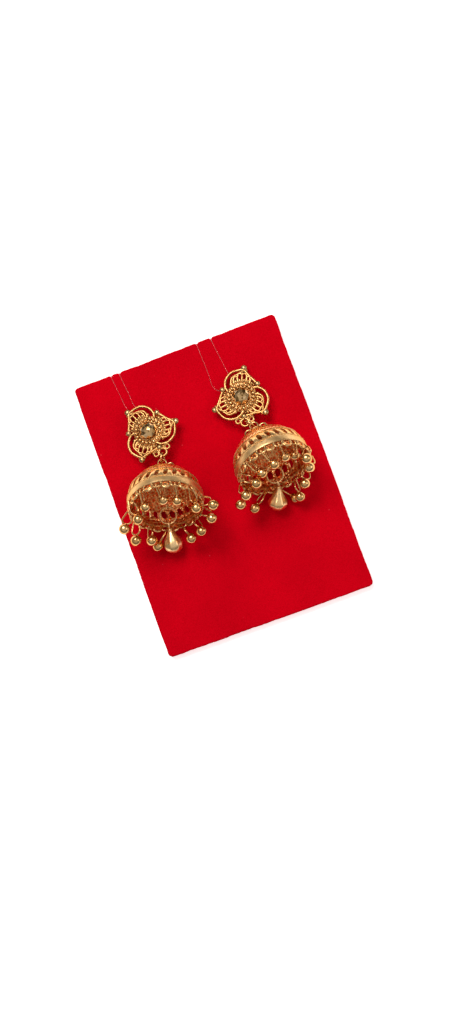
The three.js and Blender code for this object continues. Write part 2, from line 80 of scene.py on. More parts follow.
def curve(points, n, closed=False):
    """A smooth line through the points (Catmull-Rom), n steps in all, evenly spaced."""
    p = np.asarray(points, float)
    if closed:
        p = np.vstack([p[-1], p, p[0], p[1]])
    else:
        p = np.vstack([2 * p[0] - p[1], p, 2 * p[-1] - p[-2]])
    out = []
    for i in range(1, len(p) - 2):
        t = np.linspace(0, 1, 24, endpoint=False)[:, None]
        a, b, c, d = p[i - 1], p[i], p[i + 1], p[i + 2]
        out.append(0.5 * (2 * b + (c - a) * t + (2 * a - 5 * b + 4 * c - d) * t**2 + (3 * b - a - 3 * c + d) * t**3))
    out = np.vstack(out + [p[-2][None]])
    s = np.r_[0, np.cumsum(np.linalg.norm(np.diff(out, axis=0), axis=1))]
    want = np.linspace(0, s[-1], n, endpoint=not closed)
    return np.stack([np.interp(want, s, out[:, k]) for k in range(out.shape[1])], 1)


class Build:
    """Collects verts and faces of one piece, in millimetres."""

    def __init__(self):
        self.v, self.f, self.flat, self.mat, self.n = [], [], [], [], 0

    def add(self, v, f, flat=False, mat=0):
        v = np.asarray(v, float).reshape(-1, 3)
        n = self.n
        self.v.append(v)
        self.f.extend([tuple(int(i) + n for i in q) for q in f])
        self.flat.extend([flat] * len(f))
        self.mat.extend([mat] * len(f))
        self.n += len(v)

    def sweep(self, pts, r, sides=8, closed=False, up=None, rb=None, mat=0):
        """Round wire along a line. r may vary. With up, the section is r across and rb along up."""
        p = np.asarray(pts, float)
        r = np.broadcast_to(np.asarray(r, float), (len(p),)).copy()
        b = r.copy() if rb is None else np.broadcast_to(np.asarray(rb, float), (len(p),)).copy()
        if not closed:
            t0, t1 = unit(p[0] - p[1]), unit(p[-1] - p[-2])
            cap = [math.radians(x) for x in (30, 60, 84)]
            p = np.vstack([[p[0] + t0 * r[0] * math.sin(c) for c in reversed(cap)], p, [p[-1] + t1 * r[-1] * math.sin(c) for c in cap]])
            k0, k1 = [math.cos(c) for c in reversed(cap)], [math.cos(c) for c in cap]
            r, b = np.r_[[r[0] * k for k in k0], r, [r[-1] * k for k in k1]], np.r_[[b[0] * k for k in k0], b, [b[-1] * k for k in k1]]
        n = len(p)
        if closed:
            t = np.roll(p, -1, 0) - np.roll(p, 1, 0)
        else:
            t = np.gradient(p, axis=0)
        t /= np.linalg.norm(t, axis=1)[:, None]
        if up is not None:
            u = np.broadcast_to(np.asarray(up, float), p.shape)
            u = u - t * (t * u).sum(1)[:, None]
            u = u / np.linalg.norm(u, axis=1)[:, None]
            off = np.zeros(n)
        else:
            s = vec(0, 0, 1) if abs(t[0][2]) < 0.9 else vec(1, 0, 0)
            u = np.zeros_like(p)
            for i in range(n):
                s = unit(s - t[i] * np.dot(s, t[i]))
                u[i] = s
            off = np.zeros(n)
            if closed:
                s = unit(s - t[0] * np.dot(s, t[0]))
                off = math.atan2(np.dot(np.cross(s, u[0]), t[0]), np.dot(s, u[0])) * np.arange(n) / n
        w = np.cross(t, u)
        a = 2 * math.pi * np.arange(sides)[None] / sides + off[:, None]
        v = p[:, None] + u[:, None] * (b[:, None] * np.cos(a))[..., None] + w[:, None] * (r[:, None] * np.sin(a))[..., None]
        f = []
        for i in range(n if closed else n - 1):
            j = (i + 1) % n
            for k in range(sides):
                m = (k + 1) % sides
                f.append((i * sides + k, i * sides + m, j * sides + m, j * sides + k))
        if not closed:
            f.append(tuple(reversed(range(sides))))
            f.append(tuple((n - 1) * sides + k for k in range(sides)))
        self.add(v, f, mat=mat)

    def lathe(self, prof, n, M, flat=False, mat=0, wave=None, twist=0.0):
        """Profile of (radius, height) turned about the third axis of M (3x3 axes as columns, origin)."""
        A, o = M
        rows, v, f = [], [], []
        for j, (r, z) in enumerate(prof):
            if r < 1e-6:
                rows.append([len(v)])
                v.append(o + A[:, 2] * z)
            else:
                row = []
                for i in range(n):
                    a = 2 * math.pi * (i + twist * j) / n
                    rr = r * (1 + (wave(a, j) if wave else 0))
                    row.append(len(v))
                    v.append(o + A[:, 0] * rr * math.cos(a) + A[:, 1] * rr * math.sin(a) + A[:, 2] * z)
                rows.append(row)
        for a, b in zip(rows, rows[1:]):
            for i in range(n):
                k = (i + 1) % n
                if len(a) == 1 and len(b) > 1:
                    f.append((a[0], b[k], b[i]))
                elif len(b) == 1 and len(a) > 1:
                    f.append((a[i], a[k], b[0]))
                elif len(a) > 1:
                    if twist:
                        f.append((a[i], a[k], b[i]))
                        f.append((a[k], b[k], b[i]))
                    else:
                        f.append((a[i], a[k], b[k], b[i]))
        self.add(v, f, flat=flat, mat=mat)

    def ball(self, at, r, M=None, nu=14, nv=9, mat=0):
        r = np.broadcast_to(np.asarray(r, float), (3,))
        A = np.eye(3) if M is None else M
        a = np.linspace(-math.pi / 2, math.pi / 2, nv + 1)
        prof = [(abs(math.cos(x)) if 0 < i < nv else 0.0, math.sin(x)) for i, x in enumerate(a)]
        self.lathe(prof, nu, (A * r[None], np.asarray(at, float)), mat=mat)

    def ring(self, R, r, A, o, around=40, sides=9, grains=0, depth=0.22, mat=0):
        a = 2 * math.pi * np.arange(around) / around
        p = o + np.cos(a)[:, None] * A[:, 0] * R + np.sin(a)[:, None] * A[:, 1] * R
        rad = r * (1 - depth * (0.5 - 0.5 * np.cos(a * grains))) if grains else r
        self.sweep(p, rad, sides, closed=True, up=A[:, 2], rb=rad, mat=mat)

    def make(self, name, mats, replaces=(), slot=None, angle=None):
        me = bpy.data.meshes.new(name)
        me.from_pydata((np.vstack(self.v) * MM).tolist(), [], self.f)
        me.validate()
        ob = bpy.data.objects.new(name, me)
        bpy.context.scene.collection.objects.link(ob)
        for m in mats:
            me.materials.append(m)
        if len(me.polygons) == len(self.flat):
            me.polygons.foreach_set("use_smooth", [not x for x in self.flat])
            me.polygons.foreach_set("material_index", self.mat)
        fix_normals(me)
        if angle:
            me.set_sharp_from_angle(angle=math.radians(angle))
        me.update()
        if replaces:
            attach(ob, "root")
            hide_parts(*replaces)
        return ob


def fix_normals(me):
    import bmesh
    bm = bmesh.new()
    bm.from_mesh(me)
    bmesh.ops.recalc_face_normals(bm, faces=bm.faces)
    bm.to_mesh(me)
    bm.free()


def axes(x, y, z):
    return np.stack([x, y, z], 1)


# ------------------------------------------------------------------ materials
def tree(name):
    m = bpy.data.materials.new(name)
    m.use_nodes = True
    t = m.node_tree
    t.nodes.clear()
    out = t.nodes.new("ShaderNodeOutputMaterial")
    b = t.nodes.new("ShaderNodeBsdfPrincipled")
    t.links.new(b.outputs[0], out.inputs[0])
    co = t.nodes.new("ShaderNodeTexCoord")
    return m, t, b, co.outputs["Object"]


def noise(t, co, scale, detail=3.0, rough=0.55, stretch=None):
    if stretch:
        mp = t.nodes.new("ShaderNodeMapping")
        mp.inputs["Scale"].default_value = stretch
        t.links.new(co, mp.inputs[0])
        co = mp.outputs[0]
    n = t.nodes.new("ShaderNodeTexNoise")
    n.inputs["Scale"].default_value = scale
    n.inputs["Detail"].default_value = detail
    n.inputs["Roughness"].default_value = rough
    t.links.new(co, n.inputs["Vector"])
    return n.outputs["Fac"]


def ramp(t, fac, stops):
    r = t.nodes.new("ShaderNodeValToRGB")
    e = r.color_ramp.elements
    while len(e) < len(stops):
        e.new(0.5)
    for x, (pos, col) in zip(e, stops):
        x.position = pos
        x.color = (*col, 1) if len(col) == 3 else col
    t.links.new(fac, r.inputs[0])
    return r.outputs[0]


def span(t, fac, lo, hi, a=0.3, b=0.7):
    m = t.nodes.new("ShaderNodeMapRange")
    m.inputs["From Min"].default_value = a
    m.inputs["From Max"].default_value = b
    m.inputs["To Min"].default_value = lo
    m.inputs["To Max"].default_value = hi
    t.links.new(fac, m.inputs["Value"])
    return m.outputs["Result"]


def bump(t, b, height, strength, dist, under=None):
    n = t.nodes.new("ShaderNodeBump")
    n.inputs["Strength"].default_value = strength
    n.inputs["Distance"].default_value = dist
    t.links.new(height, n.inputs["Height"])
    if under is not None:
        t.links.new(under, n.inputs["Normal"])
    t.links.new(n.outputs[0], b.inputs["Normal"])
    return n.outputs[0]


def gold(name, light, deep, rough, grain=0.25, scale=700.0, stretch=None):
    """Plated brass: tone drifts between light and deep, with fine polishing marks and a slightly uneven gloss."""
    m, t, b, co = tree(name)
    tone = noise(t, co, scale, 4.0, 0.6)
    t.links.new(ramp(t, tone, [(0.30, deep), (0.50, tuple((x + y) / 2 for x, y in zip(light, deep))), (0.66, light)]), b.inputs["Base Color"])
    b.inputs["Metallic"].default_value = 1.0
    b.inputs["Specular Tint"].default_value = (1.0, 0.60, 0.36, 1)
    t.links.new(span(t, noise(t, co, scale * 2.3, 3.0), rough[0], rough[1]), b.inputs["Roughness"])
    coarse = bump(t, b, noise(t, co, 1500.0, 2.0, 0.5, stretch), grain, 0.00006)
    bump(t, b, noise(t, co, 7000.0, 2.0, 0.5), grain * 0.5, 0.00002, coarse)
    return m


GOLD_WORK = gold("gold_filigree", (0.82, 0.53, 0.24), (0.58, 0.31, 0.11), (0.16, 0.34), 0.45)
GOLD_ROSE = gold("gold_rosette", (0.68, 0.38, 0.145), (0.38, 0.18, 0.055), (0.24, 0.42), 0.45)
GOLD_OLIVE = gold("gold_granule", (0.56, 0.37, 0.17), (0.36, 0.21, 0.08), (0.20, 0.34), 0.25)
GOLD_SATIN = gold("gold_satin_band", (0.86, 0.56, 0.27), (0.74, 0.44, 0.18), (0.30, 0.44), 0.30, 420.0)
GOLD_SHELL = gold("gold_shell", (1.0, 0.63, 0.28), (0.80, 0.43, 0.15), (0.20, 0.36), 0.50, 600.0)
GOLD_BEAD = gold("gold_bead", (0.82, 0.50, 0.22), (0.60, 0.32, 0.11), (0.12, 0.24), 0.20, 500.0)
GOLD_DROP = gold("gold_drop", (0.98, 0.68, 0.35), (0.82, 0.50, 0.21), (0.25, 0.36), 0.35, 400.0, (1.0, 0.25, 1.0))
GOLD_FACET = gold("gold_facet", (0.84, 0.54, 0.26), (0.60, 0.36, 0.15), (0.08, 0.18), 0.08, 420.0)
# darker and paler copies of the facet gold: painted shade and painted reflection on the boss facets
GOLD_FACET_PAINTED_SHADE = gold("gold_facet_painted_shade", (0.36, 0.20, 0.07), (0.20, 0.10, 0.03), (0.10, 0.22), 0.08, 420.0)
GOLD_FACET_PAINTED_GLINT = gold("gold_facet_painted_glint", (1.0, 0.72, 0.42), (0.92, 0.56, 0.26), (0.10, 0.20), 0.08, 420.0)


def lattice(name, wires, between, rough, scale):
    """The inside of the bell: raised wires round small irregular cells, painted bright on the wires and deep red
    between, as painted shade in the cells and painted reflection of the red card.
    """
    m, t, b, co = tree(name)
    vo = t.nodes.new("ShaderNodeTexVoronoi")
    vo.feature = "DISTANCE_TO_EDGE"
    vo.inputs["Scale"].default_value = scale
    t.links.new(co, vo.inputs["Vector"])
    edge = vo.outputs["Distance"]
    # cell colour: painted shade between the wires and painted reflection of the red card
    base = ramp(t, edge, [(0.04, wires), (0.12, tuple((x + y) / 2 for x, y in zip(wires, between))), (0.24, between)])
    drift = ramp(t, noise(t, co, 420.0, 4.0, 0.6), [(0.32, (0.62, 0.55, 0.50)), (0.66, (1.0, 1.0, 1.0))])
    mul = t.nodes.new("ShaderNodeMix")
    mul.data_type = "RGBA"
    mul.blend_type = "MULTIPLY"
    mul.inputs["Factor"].default_value = 1.0
    t.links.new(base, mul.inputs[6])
    t.links.new(drift, mul.inputs[7])
    t.links.new(mul.outputs[2], b.inputs["Base Color"])
    b.inputs["Metallic"].default_value = 1.0
    b.inputs["Specular Tint"].default_value = (1.0, 0.60, 0.36, 1)
    t.links.new(span(t, noise(t, co, 1800.0, 3.0), rough[0], rough[1]), b.inputs["Roughness"])
    high = bump(t, b, span(t, edge, 1.0, 0.0, 0.0, 0.22), 0.8, 0.00010)
    bump(t, b, noise(t, co, 5000.0, 2.0, 0.5), 0.3, 0.00003, high)
    return m


GOLD_INNER_PAINTED_SHADE_AND_RED = lattice("gold_inside_painted_shade_and_red", (1.0, 0.58, 0.23), (0.90, 0.15, 0.03), (0.22, 0.38), 1000.0)


def flock():
    m, t, b, co = tree("red_flock")
    fine = noise(t, co, 5200.0, 3.0, 0.7)
    broad = noise(t, co, 60.0, 3.0, 0.5)
    a = ramp(t, fine, [(0.32, (0.44, 0.0003, 0.0045)), (0.50, (0.58, 0.0004, 0.0075)), (0.70, (0.68, 0.0012, 0.013))])
    c = ramp(t, broad, [(0.35, (0.93, 0.93, 0.93)), (0.65, (1.06, 1.06, 1.06))])
    mul = t.nodes.new("ShaderNodeMix")
    mul.data_type = "RGBA"
    mul.blend_type = "MULTIPLY"
    mul.inputs["Factor"].default_value = 1.0
    t.links.new(a, mul.inputs[6])
    t.links.new(c, mul.inputs[7])
    # a few pale specks of lint
    vo = t.nodes.new("ShaderNodeTexVoronoi")
    vo.inputs["Scale"].default_value = 330.0
    t.links.new(co, vo.inputs["Vector"])
    near = span(t, vo.outputs["Distance"], 0.55, 0.0, 0.03, 0.075)
    sep = t.nodes.new("ShaderNodeSeparateColor")
    t.links.new(vo.outputs["Color"], sep.inputs[0])
    some = span(t, sep.outputs[0], 0.0, 0.6, 0.70, 0.95)
    both = t.nodes.new("ShaderNodeMath")
    both.operation = "MULTIPLY"
    t.links.new(near, both.inputs[0])
    t.links.new(some, both.inputs[1])
    mix = t.nodes.new("ShaderNodeMix")
    mix.data_type = "RGBA"
    t.links.new(both.outputs[0], mix.inputs["Factor"])
    t.links.new(mul.outputs[2], mix.inputs[6])
    mix.inputs[7].default_value = (0.75, 0.12, 0.14, 1)
    t.links.new(mix.outputs[2], b.inputs["Base Color"])
    b.inputs["Roughness"].default_value = 0.95
    b.inputs["Specular IOR Level"].default_value = 0.0
    b.inputs["Sheen Weight"].default_value = 0.015
    b.inputs["Sheen Roughness"].default_value = 0.5
    b.inputs["Sheen Tint"].default_value = (1.0, 0.25, 0.28, 1)
    n1 = bump(t, b, noise(t, co, 900.0, 3.0, 0.6), 0.25, 0.00015)
    bump(t, b, fine, 0.5, 0.00012, n1)
    return m


def nylon():
    m, t, b, co = tree("clear_thread")
    # pink tint on the clear thread: painted reflection of the red card seen through it
    t.links.new(ramp(t, noise(t, co, 900.0), [(0.35, (0.90, 0.34, 0.36)), (0.65, (0.98, 0.52, 0.53))]), b.inputs["Base Color"])
    t.links.new(span(t, noise(t, co, 2500.0), 0.12, 0.28), b.inputs["Roughness"])
    b.inputs["IOR"].default_value = 1.53
    b.inputs["Transmission Weight"].default_value = 0.85
    return m


FLOCK = flock()
NYLON_PAINTED_CARD_TINT = nylon()


# ------------------------------------------------------------------ card
def card():
    w, l, c, T = CARD["width"] / 2, CARD["length"] / 2, CARD["corner"], CARD["thick"]
    per = []
    step = 0.28

    def line(a, b):
        n = max(2, int(np.linalg.norm(np.subtract(b, a)) / step))
        for i in range(n):
            per.append(np.add(a, np.subtract(b, a) * i / n))

    def arc(cx, cy, a0):
        for i in range(12):
            a = math.radians(a0 + 90 * i / 12)
            per.append(vec(cx + c * math.cos(a), cy + c * math.sin(a)))

    line((-w + c, -l), (w - c, -l)); arc(w - c, -l + c, -90)
    line((w, -l + c), (w, l - c)); arc(w - c, l - c, 0)
    line((w - c, l), (-w + c, l)); arc(-w + c, l - c, 90)
    line((-w, l - c), (-w, -l + c)); arc(-w + c, -l + c, 180)
    P = np.array(per)
    nrm = np.roll(P, -1, 0) - np.roll(P, 1, 0)
    nrm = np.stack([nrm[:, 1], -nrm[:, 0]], 1)
    nrm /= np.linalg.norm(nrm, axis=1)[:, None]
    s = np.arange(len(P)) / len(P) * 2 * math.pi
    wav = sum(a * np.sin(k * s + ph) for k, a, ph in ((5, .05, .3), (11, .045, 1.9), (23, .04, 4.0), (47, .03, 2.2), (90, .02, 5.1), (171, .018, .7)))
    wav = 0.04 + np.clip(wav, -0.04, 0.18)
    dent = np.zeros(len(P))
    for e in EARRINGS:
        for x in e["notches"]:
            d = np.hypot(P[:, 0] - x, P[:, 1] - l)
            dent = np.maximum(dent, 0.42 * np.exp(-(d / 0.34) ** 2))
    P = P - nrm * (wav + dent)[:, None]
    # rings over the rounded edge: (inset, height)
    R = 0.62
    prof = [(0.25, 0.0), (0.06, 0.12), (0.0, 0.4), (0.0, T - R - 0.5), (0.0, T - R)]
    prof += [(R * (1 - math.cos(a)), T - R + R * math.sin(a)) for a in np.radians([18, 36, 54, 72, 90])]
    prof += [(k, T) for k in (1.0, 1.5, 2.2, 3.2, 4.5, 6.0, 8.0, 10.5, 13.0, 16.0, 19.0, 22.0, 25.0, 27.6)]
    v, f, n = [], [], len(P)
    core = np.stack([np.clip(P[:, 0], -w + 28.0, w - 28.0), np.clip(P[:, 1], -l + 28.0, l - 28.0)], 1)
    for j, (ins, z) in enumerate(prof):
        if ins <= 1.01:
            q = P - nrm * ins
        else:
            q0 = P - nrm * 1.0
            k = (ins - 1.0) / 27.0
            q = q0 + (core - q0) * k
        zz = np.full(n, z)
        if z > T - 0.01:
            g = 0.03 * np.sin(q[:, 0] * .31 + 1) * np.sin(q[:, 1] * .27 + 2) + 0.02 * np.sin(q[:, 0] * 1.1) * np.cos(q[:, 1] * .9)
            zz = zz - 0.05 + g * min(1.0, ins / 2)
        v.append(np.column_stack([q, zz]))
    for j in range(len(prof) - 1):
        for i in range(n):
            k = (i + 1) % n
            f.append((j * n + i, j * n + k, (j + 1) * n + k, (j + 1) * n + i))
    f.append(tuple(reversed(range(n))))
    f.append(tuple((len(prof) - 1) * n + i for i in range(n)))
    b = Build()
    b.add(np.vstack(v), f)
    ob = b.make("flocked_card", [FLOCK])
    # grooves for the threads on the back, and the pricked holes for the posts
    for e in EARRINGS:
        xa, xb = e["notches"]
        yb = THREAD["backY"]
        g = Build()
        g.sweep(curve([(xa, 39.6, .12), (xa, 37, .12), (xa, yb + .6, .12), (xa + .35, yb + .05, .12), ((xa + xb) / 2, yb, .12), (xb - .35, yb + .05, .12), (xb, yb + .6, .12), (xb, 37, .12), (xb, 39.6, .12)], 60), 0.5, 10)
        x, y, _ = e["rosette"]
        h = Build()
        h.lathe([(0, 0.3), (0.5, 0.35), (0.56, 2.0), (0.62, 2.6), (0.95, 3.05), (1.0, 3.6), (0, 3.6)], 24, (np.eye(3), vec(x, y, 0)))
        for k, cut in enumerate((g, h)):
            cu = cut.make(f"cut_{e['side']}_{k}", [])
            mod = ob.modifiers.new("cut", "BOOLEAN")
            mod.operation = "DIFFERENCE"
            mod.solver = "MANIFOLD"
            mod.object = cu
            with bpy.context.temp_override(object=ob, active_object=ob, selected_objects=[ob]):
                bpy.ops.object.modifier_apply(modifier=mod.name)
            bpy.data.objects.remove(cu)
    for p in ob.data.polygons:
        p.use_smooth = True
    ob.data.set_sharp_from_angle(angle=math.radians(50))
    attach(ob, "root")
    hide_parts("display_card")


def thread(e):
    z = THREAD["z"]
    xa, xb = e["notches"]
    sa, sb = e["strands"]
    edge = CARD["length"] / 2
    px, py, _ = e["rosette"]
    around = 0.42 + 0.14 + 0.1

    def over(x):
        return [vec(x, edge - 1.2, z - .08), vec(x, edge - .62, z - .1), vec(x, edge - .36, z - .26), vec(x, edge - .28, z - .6), vec(x, edge - .28, 1.6),
                vec(x, edge - .28, .72), vec(x, edge - .38, .4), vec(x, edge - .68, .3), vec(x, edge - 2.0, .3)]
    yb = THREAD["backY"]
    down, up = over(xa), over(xb)
    a0 = math.atan2(sa[1] - py, sa[0] - px) + 1.25
    a1 = math.atan2(sb[1] - py, sb[0] - px) - 1.25 + 2 * math.pi
    turn = [vec(px + around * math.cos(a), py + around * math.sin(a), z - .05) for a in np.linspace(a0, a1, 9)]

    def mix(p, q, k):
        return vec(p[0] + (q[0] - p[0]) * k, p[1] + (q[1] - p[1]) * k, z - .06)
    loop = [vec(xb - .5, yb + .02, .3), vec((xa + xb) / 2, yb, .3), vec(xa + .5, yb + .02, .3), vec(xa + .13, yb + .12, .3), vec(xa, yb + .45, .3)]
    loop += down[::-1] + [mix((xa, edge - 1.2), sa, .33), mix((xa, edge - 1.2), sa, .66), vec(*sa, z - .06), mix(sa, turn[0][:2], .5)] + turn
    loop += [mix(turn[-1][:2], sb, .5), vec(*sb, z - .06), mix(sb, (xb, edge - 1.2), .33), mix(sb, (xb, edge - 1.2), .66)] + up
    loop += [vec(xb, yb + .45, .3), vec(xb - .13, yb + .12, .3)]
    b = Build()
    b.sweep(curve(loop, 420, closed=True), 0.06, 8, closed=True)
    b.make(f"nylon_{e['side']}", [NYLON_PAINTED_CARD_TINT], [f"tie_thread_{e['side']}"], "clear_thread")


# ------------------------------------------------------------------ rosette
def rosette_frame(e):
    L, T = math.radians(e["lean"]), math.radians(e["leanTo"])
    n = Vector((math.sin(L) * math.cos(T), math.sin(L) * math.sin(T), math.cos(L)))
    q = Vector((0, 0, 1)).rotation_difference(n) @ Quaternion((0, 0, 1), math.radians(e["turn"]))
    return np.array(q.to_matrix()), np.array(e["rosette"], float)


def rosette(e):
    b = Build()
    I = np.eye(3)
    o = np.zeros(3)

    def polar(deg, r, z=0.0):
        a = math.radians(deg)
        return vec(e["mirror"] * r * math.cos(a), r * math.sin(a), z)
    up = vec(0, 0, 1)
    # back plate with a rolled edge
    b.lathe([(0, -.42), (3.7, -.42), (3.92, -.36), (4.0, -.2), (3.95, -.04), (3.75, .03), (0, .03)], 72, (I, o))
    # diamond-cut boss: three tiers of facets and a table, on a serrated collar
    b.lathe([(2.2, -.1), (2.36, .40), (2.14, .98), (1.55, 1.42), (.86, 1.70), (0, 1.88)], 8, (I, o), flat=True, mat=1, twist=0.5)
    # some cut facets get a darker copy of the gold as painted shade and some a paler copy as painted reflection,
    # picked at random
    facets = [k for k, x in enumerate(b.mat) if x == 1]
    for k in facets:
        b.mat[k] = (1, 4, 5, 4, 1)[int(rng.integers(0, 5))]
    b.ring(2.52, .22, I, vec(0, 0, .16), around=24 * 8, sides=8, grains=24, depth=.45)
    # ring of long granules, and the fine beaded wire outside it
    for i in range(20):
        a = 360 * (i + .3) / 20
        r = polar(a, 1)
        b.ball(polar(a, 3.26, .30 + .05 * rng.random()), (.60, .44 + .03 * rng.random(), .50), axes(r, np.cross(up, r), up), 14, 9, mat=3)
    b.ring(3.92, .2, I, vec(0, 0, .08), around=56 * 6, sides=7, grains=56, depth=.5)
    for tip in LOBES:
        def line(t, n, lift=0.0):
            return curve([polar(tip + d, r, lift) for d, r in zip(*t)], n)
        full = line(FULL, 44)
        b.sweep(full, .37, 10, up=up, rb=.42)
        b.sweep(line(FLAT, 26), .36, 10, up=up, rb=.40)
        inner = line(INNER, 30, .05)
        b.sweep(inner, .30, 9, up=up, rb=.36)
        # fan of ribs with little arches between their ends
        ends = []
        fan = ((33, 5.15), (18, 5.75), (3, 6.35), (-12, 5.75), (-26, 5.15))
        for d, ro in fan:
            p = [polar(tip + d * 1.0, 4.1, -.02), polar(tip + d * .95, 4.7, .06), polar(tip + d * .9, ro, .08)]
            b.sweep(curve(p, 12), np.linspace(.40, .30, 12), 9, up=up, rb=np.linspace(.38, .34, 12))
            ends.append((tip + d * .9, ro))
        for (a0, r0), (a1, r1) in zip(ends, ends[1:]):
            mid = (r0 + r1) / 2
            p = [polar(a0, r0 - .35, .12), polar(a0 * .7 + a1 * .3, mid + .12, .14), polar(a0 * .3 + a1 * .7, mid + .12, .14), polar(a1, r1 - .35, .12)]
            b.sweep(curve(p, 12), .29, 8, up=up, rb=.34)
        # granules where the ribs leave the ring
        for d in (44, 25.5, 10.5, -4.5, -19, -33):
            rr = polar(tip + d, 1)
            b.ball(polar(tip + d, 4.42, .02), (.50, .50, .36), axes(rr, np.cross(up, rr), up), 12, 8)
        # tip: flared neck, ball and a grain each side
        r = polar(tip, 1)
        side = np.cross(up, r)
        b.lathe([(.62, 6.75), (.42, 7.0), (.40, 7.15), (.58, 7.4), (.2, 7.6)], 16, (axes(side, up * .75, r), o))
        b.ball(polar(tip, 7.78), (.80, .84, .54), axes(r, side, up), 18, 11, mat=2)
        for s in (-1, 1):
            b.ball(polar(tip, 7.12) + side * s * .66, (.38, .38, .36), None, 10, 7)
        # junction granule between the lobes, with its tiny neighbours
        j = polar(tip - 47, 5.4)
        b.ball(j + up * .05, (.76, .76, .56), None, 16, 10, mat=2)
        jr = unit(j)
        js = np.cross(up, jr)
        for s in (-1, 1):
            b.ball(j - jr * .35 + js * s * .72, (.34, .34, .32), None, 10, 7)
            b.ball(j - jr * .95 + js * s * .45, (.30, .30, .32), None, 10, 7)
    # hanging cluster: the eye, a curl each side and grains
    b.ring(1.02, .33, I, vec(0, -7.0, 0), 40, 10)
    for s in (-1, 1):
        b.ring(.6, .29, I, vec(s * 1.75, -6.45, 0), 30, 9)
        b.ball(vec(s * .98, -5.92, .12), (.50, .46, .42), None, 12, 8)
        b.ball(vec(s * 2.2, -5.85, .05), (.42, .42, .38), None, 10, 7)
        b.ball(vec(s * 1.62, -5.62, .1), (.42, .40, .38), None, 10, 7)
    b.ball(vec(0, -5.66, .16), (.5, .42, .4), None, 12, 8)
    A, c = rosette_frame(e)
    b.v = [v @ A.T + c for v in b.v]
    b.make(f"filigree_rosette_{e['side']}", [GOLD_ROSE, GOLD_FACET, GOLD_OLIVE, GOLD_WORK, GOLD_FACET_PAINTED_SHADE, GOLD_FACET_PAINTED_GLINT], [f"stud_rosette_{e['side']}"], "gold_filigree")
    return A, c


def post(e):
    x, y, z = e["rosette"]
    L = math.radians(e["lean"])
    top = z - .42 / math.cos(L) - 1.25 * math.tan(L) - .3
    b = Build()
    prof = [(0, .5), (.12, .52), (.24, .62), (.42, 1.05), (.42, 1.6), (.37, 1.66), (.37, 1.86), (.42, 1.92), (.42, top - .75), (.55, top - .55), (.9, top - .47),
            (1.15, top - .44), (1.25, top - .32), (1.25, top - .12), (1.15, top), (0, top)]
    b.lathe(prof, 32, (np.eye(3), vec(x, y, 0)))
    b.make(f"ear_pin_{e['side']}", [GOLD_BEAD], [f"ear_post_{e['side']}"], "gold_filigree", angle=40)


# ------------------------------------------------------------------ bell
def bell_axes(e):
    D, Z = math.radians(e["dip"]), math.radians(e["az"])
    a = vec(math.cos(D) * math.cos(Z), math.cos(D) * math.sin(Z), math.sin(D))
    e1 = unit(np.cross(a, vec(0, 0, 1)))
    return a, e1, np.cross(e1, a), np.array(e["bell"], float)


